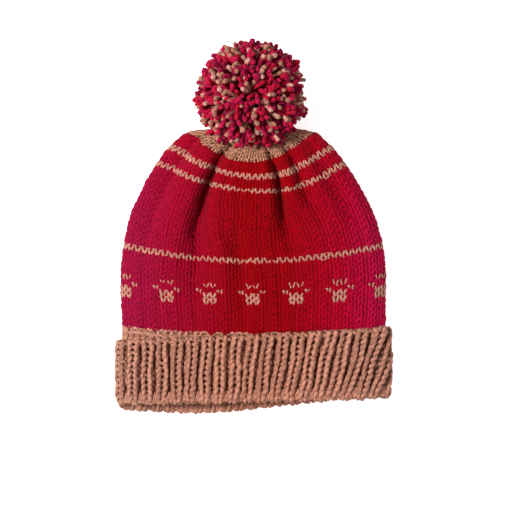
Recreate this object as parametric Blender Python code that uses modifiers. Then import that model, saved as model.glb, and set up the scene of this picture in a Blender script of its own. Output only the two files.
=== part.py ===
"""Knitted bobble hat with a folded ribbed cuff, lying flat on its back.

Metres, +Z up, +Y from the head opening to the pompom. The origin lies under the middle of the hat, on the plane
that it rests on. Places round the hat run from the left side over the front layer. A level is a share of the
knitted rows, from 0 at the ribbing to 1 at the gathered hole.
"""

import math
import random

import bmesh
import bpy
import numpy as np
from mathutils import Matrix, Vector

# Placing
OPENING_Y = -0.1350  # middle of the front's lower fold
MIDDLE_X = -0.0005
CLEARANCE = 0.0003  # gap between pieces that touch on the real hat
BOWL_SPARE = 0.0016  # extra room for the pompom, so that flat facets of the bowl stay clear of it
PRESSED_FLAT = 0.0008  # thickness that the hat's own weight takes off where it lies on the ground

# Crown: the knitted tube above the ribbing
CROWN_WIDTH = 0.210
CROWN_START = 0.0574  # from the opening to the ribbing's last row, at the sides
CROWN_RISE = 0.154  # from there to the top of the shoulders
CROWN_HEIGHT = 0.050  # lying height of the front layer
CROWN_WALL = 0.0036
ROW_SAG = 0.0226  # how far the front's rows hang below their ends
STITCHES = 78
STITCH_WIDTH = 0.00574

# Cuff: ribbing that runs on down, turns at the opening and comes back up outside
CUFF_HEIGHT = 0.0511
EDGE_TILT = 0.051  # rise of the loose edge per metre of width
FOLD_TILT = 0.025  # rise of the lower fold per metre of width
BACK_DROP = 0.0095  # how far the back's lower fold shows below the front's
BACK_DROP_PLACE = -0.42  # where it hangs lowest, as a share of the half width
BACK_DROP_REACH = 0.42
RIB_WALL = 0.0040
RIB_DEPTH = 0.0018
RIB_LEAN = 0.0059  # how far the loose edge is pushed sideways, at the middle
RIB_LEAN_GROWTH = 1.77  # power by which that grows from the left side to the right
LAYER_GAP = 0.0005

# Pompom and its tie
POMPOM_RADIUS = 0.0452
POMPOM_SQUASH = 0.94  # its length along the way it is tied, as a share of its width
POMPOM_LEAN = -0.0028  # its middle is this far to the side of the gathered hole
LOCK_LENGTH = 0.0050
LOCK_EDGE = 0.0016
LOCK_SCATTER = 0.2  # share of a lock's width by which its corners stray
LOCKS_PER_EDGE = 6
POMPOM_FLATTEN = 0.0024
POMPOM_UNEVEN = 0.045  # share by which the shortest locks fall short
KNOT_SPREAD = 0.0035  # how much wider the knot is than the gathered hole
KNOT_HEIGHT = 0.008

CROWN_COLUMNS = 96
CROWN_LEVELS = (0, 0.12, 0.21, 0.33, 0.44, 0.55, 0.64, 0.71, 0.77, 0.82, 0.86, 0.89, 0.93, 0.96, 1)

# Sections of the crown. rise is a share of CROWN_RISE, half_width and aside of half CROWN_WIDTH, top and
# bottom of CROWN_HEIGHT, front_sag and back_sag of ROW_SAG. skew is where the sag is lowest, as a share of the
# half width, and lift the share of the cuff's outer layer that raises the ribbing. fold_least and fold_limit
# bound the slope of a fold's side in degrees, and square is the power that makes the sides blunt.
SECTION_COLUMNS = (
    "level", "rise", "half_width", "aside", "top", "bottom", "lift", "front_sag", "back_sag", "skew",
    "fold_least", "fold_limit", "square",
)
SECTIONS = (
    (0.000, 0.000, 0.985, 0.006, 0.574, 0.00, 1.0, 0.21, 0.00, 0.00, 3.0, 6.0, 5.0),
    (0.119, 0.152, 0.990, 0.002, 0.650, 0.00, 0.2, 0.27, 0.04, 0.00, 9.0, 14.0, 5.0),
    (0.214, 0.278, 0.992, 0.002, 0.710, 0.00, 0.0, 0.40, 0.09, 0.00, 11.0, 24.0, 4.6),
    (0.333, 0.428, 0.964, 0.002, 0.780, 0.00, 0.0, 0.56, 0.14, 0.00, 12.0, 40.0, 4.0),
    (0.429, 0.548, 0.920, -0.003, 0.840, 0.00, 0.0, 0.66, 0.18, 0.02, 12.0, 55.0, 3.6),
    (0.524, 0.668, 0.842, -0.008, 0.900, 0.00, 0.0, 0.76, 0.21, 0.08, 14.0, 66.0, 3.2),
    (0.607, 0.773, 0.757, -0.013, 0.950, 0.00, 0.0, 0.85, 0.23, 0.15, 16.0, 74.0, 2.9),
    (0.667, 0.848, 0.684, -0.017, 0.980, 0.00, 0.0, 0.91, 0.22, 0.15, 20.0, 76.0, 2.7),
    (0.738, 0.928, 0.585, -0.018, 1.000, 0.02, 0.0, 0.93, 0.19, 0.08, 20.0, 75.0, 2.4),
    (0.786, 0.985, 0.480, -0.016, 1.000, 0.07, 0.0, 0.99, 0.16, 0.02, 18.0, 66.0, 2.2),
    (0.833, 1.003, 0.370, -0.010, 0.985, 0.16, 0.0, 0.86, 0.13, 0.00, 10.0, 42.0, 2.1),
    (0.893, 0.988, 0.235, 0.000, 0.925, 0.30, 0.0, 0.52, 0.12, 0.00, 3.0, 20.0, 2.0),
    (0.952, 0.948, 0.125, 0.005, 0.820, 0.42, 0.0, 0.20, 0.11, 0.00, 0.0, 8.0, 2.0),
    (1.000, 0.911, 0.067, 0.008, 0.740, 0.47, 0.0, 0.08, 0.08, 0.00, 0.0, 0.0, 2.0),
)

# Folds that run up to the gather. place is where the valley lies and reach its half width, both as shares of the
# way round; from_level and full_level are where it starts and where it has its whole strength.
FOLD_COLUMNS = ("place", "reach", "from_level", "full_level", "to_level", "strength")
FOLDS = (
    (0.045, 0.044, 0.24, 0.57, 1.00, 0.55),
    (0.126, 0.051, 0.07, 0.48, 1.00, 1.00),
    (0.231, 0.033, -0.10, 0.05, 0.38, 0.45),
    (0.290, 0.041, 0.33, 0.52, 1.00, 1.00),
    (0.369, 0.037, 0.43, 0.71, 1.00, 0.85),
    (0.436, 0.038, -0.05, 0.62, 1.00, 0.60),
    (0.551, 0.041, 0.14, 0.62, 1.00, 0.70),
    (0.635, 0.041, 0.24, 0.62, 1.00, 0.90),
    (0.724, 0.044, 0.10, 0.62, 1.00, 0.95),
    (0.814, 0.042, 0.24, 0.62, 1.00, 0.90),
    (0.897, 0.038, 0.14, 0.62, 1.00, 0.85),
    (0.968, 0.031, 0.33, 0.67, 1.00, 0.60),
)
CREASE = 0.18  # share of a fold's reach over which its valley turns
FOLD_FADE = 0.1  # share of the rows over which a fold runs out

# The cuff's section, round from the inner layer's top edge. A line stands off the crown's outer surface by gap
# of LAYER_GAP and out of RIB_WALL, moved by rib of RIB_DEPTH in a rib's valley, and lies above the named height
# by along of RIB_WALL. lean is its share of the ribs' lean.
CUFF_COLUMNS = ("gap", "out", "rib", "height", "along", "lean")
CUFF_SECTION = (
    (0.0, -1.00, 1.0, "top", 0.00, 0.0),
    (0.0, 0.00, 0.0, "top", 0.00, 0.0),
    (0.0, 0.00, 0.0, "fold", 0.75, 0.0),
    (1.0, 0.00, 0.0, "fold", 0.75, 0.0),
    (1.0, 0.00, 0.0, "edge", -0.20, 1.0),
    (1.0, 0.75, -1.0, "edge", 0.00, 1.0),
    (1.0, 1.00, -1.0, "edge", -0.50, 1.0),
    (1.0, 0.85, -1.0, "middle", 0.00, 0.5),
    (1.0, 1.00, -1.0, "fold", 1.20, 0.1),
    (1.0, 0.65, 0.0, "fold", 0.30, 0.0),
    (0.5, 0.00, 0.0, "fold", 0.00, 0.0),
    (0.0, -0.65, 0.0, "fold", 0.30, 0.0),
    (0.0, -1.00, 1.0, "fold", 1.20, 0.0),
)
RIB_POINTS = (1, 1, 0, 0)  # crest and valley points of one rib

FINE_STEPS = 12  # steps per stitch when a ring is worked out
HULL_STEPS = 720


def table_column(table, columns, name):
    return np.array([line[columns.index(name)] for line in table], float)


def section_value(name, level):
    """The section table's value at any level, on a smooth curve through the table."""
    levels = table_column(SECTIONS, SECTION_COLUMNS, "level")
    values = table_column(SECTIONS, SECTION_COLUMNS, name)
    slopes = np.gradient(values, levels)
    i = int(np.clip(np.searchsorted(levels, level, "right") - 1, 0, len(levels) - 2))
    span = levels[i + 1] - levels[i]
    u = (level - levels[i]) / span
    a = (2 * u**3 - 3 * u**2 + 1) * values[i] + (u**3 - 2 * u**2 + u) * span * slopes[i]
    b = (3 * u**2 - 2 * u**3) * values[i + 1] + (u**3 - u**2) * span * slopes[i + 1]
    return float(a + b)


def cuff_build():
    """How far the cuff's outer layer stands outside the ribbing that it covers."""
    return RIB_WALL + LAYER_GAP


def hull(level, front):
    """Half of the outline at a level before it is folded: its points and outward normals, X and Z."""
    half_width = section_value("half_width", level) * CROWN_WIDTH / 2
    lift = max(0.0, section_value("lift", level)) * cuff_build()
    low = max(0.0, section_value("bottom", level)) * CROWN_HEIGHT + lift
    high = section_value("top", level) * CROWN_HEIGHT
    centre, half_height = (low + high) / 2, (high - low) / 2
    power = max(2.0, section_value("square", level))
    turn = np.linspace(math.pi, 0.0, HULL_STEPS) if front else np.linspace(0.0, -math.pi, HULL_STEPS)
    blunt = power if front else power + 3
    x = half_width * np.sign(np.cos(turn)) * np.abs(np.cos(turn)) ** (2 / blunt)
    z = centre + half_height * np.sin(turn)
    points = np.stack([x, z], 1)
    along = np.gradient(points, axis=0)
    along /= np.linalg.norm(along, axis=1)[:, None]
    return points, np.stack([-along[:, 1], along[:, 0]], 1), half_width


def fold_angles(places, level, steepness):
    """Slope of the fabric into and out of the folds, in radians, at places round the hat."""
    angle = np.zeros_like(places)
    for line in FOLDS:
        fold = dict(zip(FOLD_COLUMNS, line))
        share = np.clip((level - fold["from_level"]) / (fold["full_level"] - fold["from_level"]), 0, 1)
        share *= np.clip((fold["to_level"] - level) / FOLD_FADE + 1, 0, 1)
        place = (places - fold["place"]) / fold["reach"]
        bump = np.tanh(place / CREASE) * np.cos(np.clip(place, -1, 1) * math.pi / 2)
        angle -= share * fold["strength"] * steepness * bump
    return np.clip(angle, -1.4, 1.4)


def folded_half(level, front):
    """Half of the outline after folding: its points, X and Z, and their X as shares of the half width."""
    points, normals, half_width = hull(level, front)
    steps = np.linalg.norm(np.diff(points, axis=0), axis=1)
    along_hull = np.concatenate([[0], np.cumsum(steps)])
    places = (0 if front else 0.5) + np.linspace(0, 0.5, STITCHES // 2 * FINE_STEPS + 1)
    middle = (places[1:] + places[:-1]) / 2
    fabric = STITCHES // 2 * STITCH_WIDTH
    low = math.radians(max(0.0, section_value("fold_least", level)))
    high = math.radians(max(0.0, section_value("fold_limit", level)))
    steepness = high
    for _ in range(30):
        steepness = (low + high) / 2
        across = np.cos(fold_angles(middle, level, steepness)).mean() * fabric
        if across > along_hull[-1]:
            low = steepness
        else:
            high = steepness
    angle = fold_angles(middle, level, steepness)
    across = np.concatenate([[0], np.cumsum(np.cos(angle))])
    squeeze = along_hull[-1] / across[-1]
    depth = np.concatenate([[0], np.cumsum(np.sin(angle))]) * squeeze
    depth -= np.linspace(0, depth[-1], len(depth))
    place = across * squeeze
    flat = [np.interp(place, along_hull, points[:, k]) for k in (0, 1)]
    out = [np.interp(place, along_hull, normals[:, k]) for k in (0, 1)]
    return np.stack([flat[0] - out[0] * depth, flat[1] - out[1] * depth], 1), flat[0] / half_width


def gather_point():
    """Middle of the gathered hole in the crown."""
    middle = (section_value("top", 1) + section_value("bottom", 1)) / 2 * CROWN_HEIGHT
    middle_x = MIDDLE_X + section_value("aside", 1) * CROWN_WIDTH / 2
    return Vector((middle_x, OPENING_Y + CROWN_START + section_value("rise", 1) * CROWN_RISE, middle))


def pompom_axis():
    """Direction from the gathered hole to the pompom's middle, which lets the pompom rest on the ground."""
    climb = POMPOM_RADIUS - POMPOM_FLATTEN - gather_point().z
    ahead = math.sqrt(max(0.0, pompom_distance() ** 2 - climb**2 - POMPOM_LEAN**2))
    return Vector((POMPOM_LEAN, ahead, climb)).normalized()


def pompom_distance():
    return POMPOM_RADIUS * POMPOM_SQUASH + CLEARANCE


def squashed(away):
    """Lengths of vectors from the pompom's middle, as shares of the pompom's radius that way."""
    axis = np.array(pompom_axis())
    along = away @ axis
    side = away - along[:, None] * axis
    return np.sqrt((side**2).sum(1) + (along / POMPOM_SQUASH) ** 2) / POMPOM_RADIUS


def pompom_centre():
    return gather_point() + pompom_axis() * pompom_distance()


def crown_ring(level, columns):
    """The crown's outer surface at one level, as points at even fabric widths, from the left round the front."""
    middle_x = MIDDLE_X + section_value("aside", level) * CROWN_WIDTH / 2
    rise = section_value("rise", level) * CROWN_RISE
    skew = section_value("skew", level)
    lines = []
    for front, sag_name, way in ((True, "front_sag", -1), (False, "back_sag", 1)):
        flat, across = folded_half(level, front)
        lowest = skew if front else 0.0
        from_lowest = (across - lowest) / (1 - lowest * np.sign(across - lowest))
        sag = way * section_value(sag_name, level) * ROW_SAG * (1 - np.clip(from_lowest, -1, 1) ** 2)
        y = OPENING_Y + CROWN_START + rise + sag
        line = np.stack([flat[:, 0] + middle_x, y, flat[:, 1]], 1)
        lines.append(line if front else line[1:])
    whole = np.concatenate(lines)
    places = np.linspace(0, len(whole) - 1, columns, endpoint=False)
    points = np.stack([np.interp(places, np.arange(len(whole)), whole[:, k]) for k in range(3)], 1)
    points[:, 2] = np.maximum(points[:, 2] - PRESSED_FLAT, 0.0)
    # The gathered end is pressed into a bowl by the pompom.
    centre = np.array(pompom_centre())
    away = points - centre
    share = squashed(away)
    points = centre + away * (np.maximum(share, 1 + BOWL_SPARE / POMPOM_RADIUS) / share)[:, None]
    points[:, 2] = np.maximum(points[:, 2], 0.0)
    return points


def loft(name, rings, closed_profile):
    """A mesh through rings of equally many points, each closed on itself."""
    count = len(rings[0])
    vertices = [tuple(point) for ring in rings for point in ring]
    faces = []
    last = len(rings) if closed_profile else len(rings) - 1
    for i in range(last):
        low, high = i * count, (i + 1) % len(rings) * count
        for j in range(count):
            k = (j + 1) % count
            faces.append((low + j, high + j, high + k, low + k))
    mesh = bpy.data.meshes.new(name)
    mesh.from_pydata(vertices, [], faces)
    mesh.update()
    return mesh


def make_object(name, mesh, material, collection):
    made = bpy.data.objects.new(name, mesh)
    collection.objects.link(made)
    mesh.materials.append(material)
    mesh.shade_smooth()
    return made


def yarn_material(name, colour):
    material = bpy.data.materials.new(name)
    material.use_nodes = True
    shader = material.node_tree.nodes["Principled BSDF"]
    shader.inputs["Base Color"].default_value = (*colour, 1.0)
    shader.inputs["Roughness"].default_value = 0.9
    shader.inputs["Metallic"].default_value = 0.0
    material.diffuse_color = (*colour, 1.0)
    return material


def make_crown(material, collection):
    """The knitted tube, one open surface thickened inwards, with a hole where it is gathered."""
    rings = [crown_ring(level, CROWN_COLUMNS) for level in reversed(CROWN_LEVELS)]
    mesh = loft("crown", rings, closed_profile=False)
    crown = make_object("crown", mesh, material, collection)
    wall = crown.modifiers.new("wall", "SOLIDIFY")
    wall.thickness = CROWN_WALL
    wall.offset = -1
    wall.use_even_offset = False
    return crown


def cuff_outline(columns):
    """Where the ribbing leaves the crown: points, outward normals, and X as shares of the half width."""
    ring = crown_ring(0, columns)
    along = np.roll(ring, -1, 0) - np.roll(ring, 1, 0)
    normals = np.stack([-along[:, 2], np.zeros(columns), along[:, 0]], 1)
    normals /= np.linalg.norm(normals, axis=1)[:, None]
    return ring, normals, ring[:, 0] / (CROWN_WIDTH / 2)


def round_at(values, places):
    """Values given at even steps round the hat, read at places counted in those steps."""
    wrapped = np.concatenate([values, values[:1]])
    at = places % len(values)
    return np.stack([np.interp(at, np.arange(len(wrapped)), wrapped[:, k]) for k in range(3)], 1)


def make_cuff(material, collection):
    """The ribbing: an inner layer, a fold at the opening and an outer layer with a loose edge."""
    ribs = STITCHES // 2
    columns = ribs * len(RIB_POINTS)
    ring, normals, across = cuff_outline(columns)
    valley = RIB_DEPTH * (1 - np.array(RIB_POINTS * ribs))
    behind = np.clip(0.5 - normals[:, 2], 0, 1)
    drop = BACK_DROP * behind * np.exp(-(((across - BACK_DROP_PLACE) / BACK_DROP_REACH) ** 2))
    fold_y = OPENING_Y + ring[:, 0] * FOLD_TILT - drop
    edge_y = OPENING_Y + CUFF_HEIGHT + ring[:, 0] * EDGE_TILT
    heights = {"top": ring[:, 1] - CLEARANCE, "edge": edge_y, "middle": (edge_y + fold_y) / 2, "fold": fold_y}
    # The outer layer's ribs lean over towards the loose edge, so its points slide round the outline.
    grown = np.clip(1 + across, 0, 2) ** RIB_LEAN_GROWTH
    slide = RIB_LEAN * grown / (STITCH_WIDTH * STITCHES) * columns
    rings = []
    for line in CUFF_SECTION:
        at = dict(zip(CUFF_COLUMNS, line))
        places = np.arange(columns) + slide * at["lean"]
        offset = at["gap"] * LAYER_GAP + at["out"] * RIB_WALL + at["rib"] * valley
        points = round_at(ring, places) + round_at(normals, places) * offset[:, None]
        points[:, 1] = heights[at["height"]] + at["along"] * RIB_WALL
        points[:, 2] = np.maximum(points[:, 2], 0.0)
        rings.append(points)
    return make_object("folded_cuff", loft("folded_cuff", rings, closed_profile=True), material, collection)


def make_pompom(material, collection):
    """A ball of yarn locks, each one a face of a ball that is drawn in and pushed out."""
    shape = bmesh.new()
    bmesh.ops.create_cube(shape, size=2.0)
    bmesh.ops.subdivide_edges(shape, edges=shape.edges, cuts=LOCKS_PER_EDGE - 1, use_grid_fill=True)
    stray = LOCK_SCATTER * 2 / LOCKS_PER_EDGE
    scatter = random.Random(5)
    root = POMPOM_RADIUS - LOCK_LENGTH
    for vertex in shape.verts:
        # Even spacing over the cube gives even angles over the ball.
        strayed = [side + scatter.uniform(-stray, stray) for side in vertex.co]
        evened = Vector([math.tan(side * math.pi / 4) for side in strayed])
        vertex.co = evened.normalized() * root
    made = bmesh.ops.inset_individual(shape, faces=shape.faces, thickness=LOCK_EDGE, depth=LOCK_LENGTH)
    sides = set(made["faces"])
    tips = [face for face in shape.faces if face not in sides]
    seat = -pompom_axis()
    for face in tips:
        towards = face.calc_center_median().normalized()
        short = POMPOM_UNEVEN * scatter.random() * min(1.0, towards.angle(seat))
        for vertex in face.verts:
            vertex.co = vertex.co.normalized() * POMPOM_RADIUS * (1 - short)
    turn = pompom_axis().to_track_quat("Z", "Y").to_matrix()
    squash = turn @ Matrix.Diagonal((1, 1, POMPOM_SQUASH)) @ turn.transposed()
    centre = pompom_centre()
    for vertex in shape.verts:
        vertex.co = squash @ vertex.co
        vertex.co.z = max(vertex.co.z, -centre.z)
    mesh = bpy.data.meshes.new("pompom")
    shape.to_mesh(mesh)
    shape.free()
    pompom = make_object("pompom", mesh, material, collection)
    pompom.location = centre
    return pompom


def make_tie(material, collection):
    """The yarn that holds the pompom: a stem through the gathered hole and a knot inside the crown."""
    hole_width = section_value("half_width", 1) * CROWN_WIDTH
    hole_height = (section_value("top", 1) - section_value("bottom", 1)) * CROWN_HEIGHT
    stem = min(hole_width, hole_height) / 2 - CLEARANCE * 3
    knot = stem + KNOT_SPREAD
    knot_top = -CROWN_WALL - CLEARANCE * 3
    knot_mid = knot_top - KNOT_HEIGHT / 2
    profile = [
        (0.0, 0.0),
        (stem, 0.0),
        (stem, knot_top),
        (knot * 0.75, knot_top - KNOT_HEIGHT * 0.12),
        (knot, knot_mid),
        (knot * 0.75, knot_top - KNOT_HEIGHT * 0.88),
        (0.0, knot_top - KNOT_HEIGHT),
    ]
    mesh = bpy.data.meshes.new("pompom_tie")
    edges = [(i, i + 1) for i in range(len(profile) - 1)]
    mesh.from_pydata([(x, 0.0, z) for x, z in profile], edges, [])
    tie = make_object("pompom_tie", mesh, material, collection)
    turned = tie.modifiers.new("turned", "SCREW")
    turned.steps = turned.render_steps = 16
    turned.use_merge_vertices = True
    turned.merge_threshold = 0.00005
    turned.use_normal_calculate = False
    tie.rotation_mode = "QUATERNION"
    tie.rotation_quaternion = pompom_axis().to_track_quat("Z", "Y")
    tie.location = gather_point()
    return tie


def main():
    for old in list(bpy.data.objects):
        bpy.data.objects.remove(old)
    collection = bpy.data.collections.new("bobble_hat")
    bpy.context.scene.collection.children.link(collection)
    red = yarn_material("red_yarn", (0.36, 0.005, 0.022))
    tan = yarn_material("tan_yarn", (0.42, 0.19, 0.13))
    mixed = yarn_material("pompom_yarn", (0.36, 0.04, 0.05))
    make_crown(red, collection)
    make_cuff(tan, collection)
    make_pompom(mixed, collection)
    make_tie(red, collection)


main()
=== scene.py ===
"""Looks of a knitted bobble hat that lies flat on its back, seen from straight above.

Lengths are in metres, in the frame of the CAD part. The yarn is real geometry: each knitted row is one tube
that loops through the fabric's surface, and the pompom is made of cut strands. Places round the hat run from
the left side over the front layer. They are counted in stitches, and in the table of folds as shares of the
way round. Rows of the crown are counted from the ribbing up. A positive depth lies above the fabric's
surface and a negative one below it.
"""

import math

import bpy
import numpy as np
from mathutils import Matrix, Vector


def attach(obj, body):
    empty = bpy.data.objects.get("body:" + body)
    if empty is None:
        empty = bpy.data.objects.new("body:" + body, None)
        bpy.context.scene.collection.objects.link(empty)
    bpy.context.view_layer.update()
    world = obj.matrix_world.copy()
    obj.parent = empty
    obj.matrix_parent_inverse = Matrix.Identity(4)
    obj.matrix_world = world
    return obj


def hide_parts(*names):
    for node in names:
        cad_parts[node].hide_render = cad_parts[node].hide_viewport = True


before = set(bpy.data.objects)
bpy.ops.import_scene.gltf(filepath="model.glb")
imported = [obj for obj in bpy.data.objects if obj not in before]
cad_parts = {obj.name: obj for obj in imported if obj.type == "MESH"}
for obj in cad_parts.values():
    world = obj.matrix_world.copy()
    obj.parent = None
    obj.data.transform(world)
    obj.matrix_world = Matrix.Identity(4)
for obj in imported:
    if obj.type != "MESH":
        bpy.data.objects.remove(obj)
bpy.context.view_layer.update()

SEED = 11
rng = np.random.default_rng(SEED)

# The fabric's surface, from the CAD part's named values, a few of which differ here for the look
OPENING_Y = -0.1350
MIDDLE_X = -0.0005
CLEARANCE = 0.0003  # between the pompom and the gathered hole
BOWL_SPARE = -0.0030  # room round the pompom, negative because the strands' ends give way to the crown
PRESSED_FLAT = 0.0008  # how far the fabric settles
CROWN_WIDTH = 0.210
CROWN_START = 0.0574  # from the opening up to the crown's first row
CROWN_RISE = 0.154
CROWN_HEIGHT = 0.050
ROW_SAG = 0.0226  # how far rows dip in their middle, times the section's own sag
STITCHES = 78
STITCH_WIDTH = 0.00574
CUFF_HEIGHT = 0.0511
EDGE_TILT = 0.051
FOLD_TILT = 0.025
BACK_DROP = 0.0095  # how much lower the back layer hangs at the opening
BACK_DROP_PLACE = -0.36  # where that is most, as a share of the half width
BACK_DROP_REACH = 0.80
RIB_WALL = 0.0040
RIB_LEAN = 0.0059
RIB_LEAN_GROWTH = 1.77
LAYER_GAP = 0.0005
POMPOM_RADIUS = 0.0452
POMPOM_SQUASH = 0.94
POMPOM_LEAN = -0.0028
POMPOM_FLATTEN = 0.0024

SECTION_COLUMNS = (
    "level", "rise", "half_width", "aside", "top", "bottom", "lift", "front_sag", "back_sag", "skew",
    "fold_least", "fold_limit", "square",
)
SECTIONS = (
    (0.000, 0.000, 0.985, 0.006, 0.574, 0.00, 1.0, 0.21, 0.00, 0.00, 3.0, 6.0, 5.0),
    (0.119, 0.152, 0.990, 0.002, 0.650, 0.00, 0.2, 0.27, 0.04, 0.00, 20.0, 24.0, 5.0),
    (0.214, 0.278, 0.992, 0.002, 0.710, 0.00, 0.0, 0.40, 0.09, 0.00, 24.0, 32.0, 4.6),
    (0.333, 0.428, 0.964, 0.002, 0.780, 0.00, 0.0, 0.56, 0.14, 0.00, 18.0, 40.0, 4.0),
    (0.429, 0.548, 0.920, -0.003, 0.840, 0.00, 0.0, 0.66, 0.18, 0.02, 12.0, 55.0, 3.6),
    (0.524, 0.668, 0.842, -0.008, 0.900, 0.00, 0.0, 0.76, 0.21, 0.08, 14.0, 66.0, 3.2),
    (0.607, 0.773, 0.757, -0.013, 0.950, 0.00, 0.0, 0.93, 0.23, 0.15, 16.0, 74.0, 2.9),
    (0.667, 0.848, 0.684, -0.017, 0.980, 0.00, 0.0, 1.06, 0.22, 0.15, 20.0, 76.0, 2.7),
    (0.738, 0.928, 0.585, -0.018, 1.000, 0.02, 0.0, 1.10, 0.19, 0.08, 20.0, 75.0, 2.4),
    (0.786, 0.985, 0.480, -0.016, 1.000, 0.07, 0.0, 1.12, 0.16, 0.02, 18.0, 66.0, 2.2),
    (0.833, 1.003, 0.370, -0.010, 0.985, 0.16, 0.0, 0.94, 0.13, 0.00, 10.0, 58.0, 2.1),
    (0.893, 0.988, 0.235, 0.000, 0.925, 0.30, 0.0, 0.52, 0.12, 0.00, 3.0, 42.0, 2.0),
    (0.952, 0.948, 0.125, 0.005, 0.820, 0.42, 0.0, 0.20, 0.11, 0.00, 0.0, 8.0, 2.0),
    (1.000, 0.911, 0.067, 0.008, 0.740, 0.47, 0.0, 0.08, 0.08, 0.00, 0.0, 0.0, 2.0),
)
FOLD_COLUMNS = ("place", "reach", "from_level", "full_level", "to_level", "strength")
FOLDS = (
    (0.050, 0.044, 0.10, 0.50, 1.00, 0.55),
    (0.150, 0.051, -0.05, 0.48, 1.00, 1.35),
    (0.228, 0.033, -0.10, 0.05, 0.38, 0.85),
    (0.326, 0.040, 0.33, 0.52, 1.00, 1.20),
    (0.393, 0.035, 0.43, 0.71, 1.00, 0.90),
    (0.445, 0.038, -0.05, 0.62, 1.00, 0.35),
    (0.551, 0.041, 0.14, 0.62, 1.00, 0.70),
    (0.635, 0.041, 0.24, 0.62, 1.00, 0.90),
    (0.724, 0.044, 0.10, 0.62, 1.00, 0.95),
    (0.814, 0.042, 0.24, 0.62, 1.00, 0.90),
    (0.897, 0.038, 0.14, 0.62, 1.00, 0.85),
    (0.968, 0.031, 0.33, 0.67, 1.00, 0.60),
)
CREASE = 0.15  # share of a fold's reach over which its valley turns
FOLD_FADE = 0.1  # levels over which a fold ends
STEEPEST_FOLD = 1.4  # slope of the fabric in a fold, in radians
ANGLE_SEARCH_STEPS = 30  # halvings in the search for the folds' steepness
BACK_BLUNTER = 3.0  # added to the power that squares the outline's back half
FINE_STEPS = 12  # points of the outline in each stitch
HULL_STEPS = 720  # points of half an outline before it is folded
GRID_COLUMNS = STITCHES * 4  # points of the surface round the hat
SHORTEST = 1e-9  # no length is divided by less

# The crown's knitting
CROWN_ROWS = 42
TAN_ROWS = (14, 28, 31, *range(34, 43))
TAN_TOP = 34  # first row of the tan top
DECREASES = ((0, 14, 78), (14, 28, 78), (28, 33, 78), (33, 36, 54), (36, 39, 42), (39, 42, 28))
MOTIF_STITCHES = 6  # one small motif in every so many stitches
MOTIF_SHIFT = -0.5  # brings a motif to the middle of the front
MOTIF_ROWS = {6: (1, 2), 7: (1, 2), 9: (1, 2)}  # whole tan stitches of a motif, by row
MOTIF_DOT_ROW = 8
MOTIF_DOTS = (0, 3)  # stitches of a motif with a tan foot alone
DOT_PARTS = (0.05, 0.26)  # where that lies in each leg, as parts of the stitch
CROWN_YARN = 0.00160  # radius
MOTIF_THIN = {6: 0.68, 7: 0.70, 8: 0.42, 9: 0.42}  # thickness of tan yarn in a motif's rows, as a share
STRIPE_THIN = 0.62  # the same in the stripes
TOP_THIN = 0.58  # the same in the tan top
LOOP_PINCH = 0.235  # how far a loop's legs close at its foot, in stitches
TOP_PINCH = 0.15  # the same where the top has fewer stitches
LOOP_REACH = 0.65  # half of a loop's height, in rows
LOOP_DEPTH = 0.0005  # how far a loop's legs stand out and its ends lie back
TAN_RISE = 0.00045  # how far tan yarn stands out between red rows
CROWN_YARN_DEPTH = -0.0017  # of the yarn's middle
CROWN_STRAY = 0.05  # how unevenly the stitches lie, in stitches
CROWN_ROW_STRAY = 0.06  # the same in rows
CROWN_DEPTH_STRAY = 0.00022
CROWN_YARN_STRAY = 0.05  # how uneven the yarn is, as a share
CROWN_SAMPLES = 11  # points of the yarn in one stitch
CROWN_GRID_STEP = 3  # grid lines for each row

# The cuff's ribbing, counted in rows from its loose edge, down round the fold and up inside
CUFF_ROWS = 24
CUFF_FOLD_ROW = 10.9
CUFF_FOLD_END = 12.4
FOLD_SPARE = 0.0002  # between the bottom of the fold and the opening's line
CUFF_MIDDLE = 0.0024  # height of the outer layer's middle above the inner layer's outside
CUFF_YARN = 0.00174  # radius
CUFF_LOOP_REACH = 0.70  # half of a loop's height, in rows
RIB_SWAY = 0.10  # how far a rib wanders sideways, in stitches
RIB_SWAY_TURN = 0.6  # how fast it does, in radians for each row
RIB_SPREAD = 0.235  # how far a knit stitch's legs move apart, in stitches
RIB_UPRIGHT = 0.15  # how far that turns the legs upright
RIB_RISE = 0.0020  # how far a knit stitch's legs stand out
RIB_DIP = 0.0032  # how far the foot and the head of a knit stitch lie behind its legs
RIB_BULK = 0.12  # how much thicker its second leg is
PURL_DEPTH = 0.0036  # how far the purl stitches lie behind
LOOP_ENDS = 6  # power that keeps a stitch's foot and head short
FLAT_ROWS = 2.2  # rows beside the fold over which the ribs flatten
FLAT_SHARE = 0.25  # how much of their relief is left there
RELIEF_ROWS = 2  # rows over which they flatten at the ribbing's two ends
EDGE_RELIEF = 0.5  # how much of their relief is left at the loose edge
JOIN_RELIEF = 0.25  # the same where the ribbing meets the crown
CUFF_STRAY = 0.06  # how unevenly the stitches lie, in stitches
CUFF_ROW_STRAY = 0.07  # the same in rows
CUFF_DEPTH_STRAY = 0.0003
CUFF_YARN_STRAY = 0.07  # how uneven the yarn is, as a share
CUFF_SAMPLES = 11
CUFF_GRID_STEP = 4

# The cast-on edge: one yarn that arches over each stitch, and higher over each rib
EDGE_YARN = 0.00150  # radius
EDGE_ROW = 0.32  # the row that it lies at
EDGE_ARCH = 0.30  # height of the arches, in rows
EDGE_DEPTH = 0.0002
EDGE_ARCH_DEPTH = 0.0011  # how far the arches stand out
EDGE_STRAY = 0.10  # how unevenly it lies, in stitches and rows
EDGE_DEPTH_STRAY = 0.0002
EDGE_YARN_STRAY = 0.08

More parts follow.
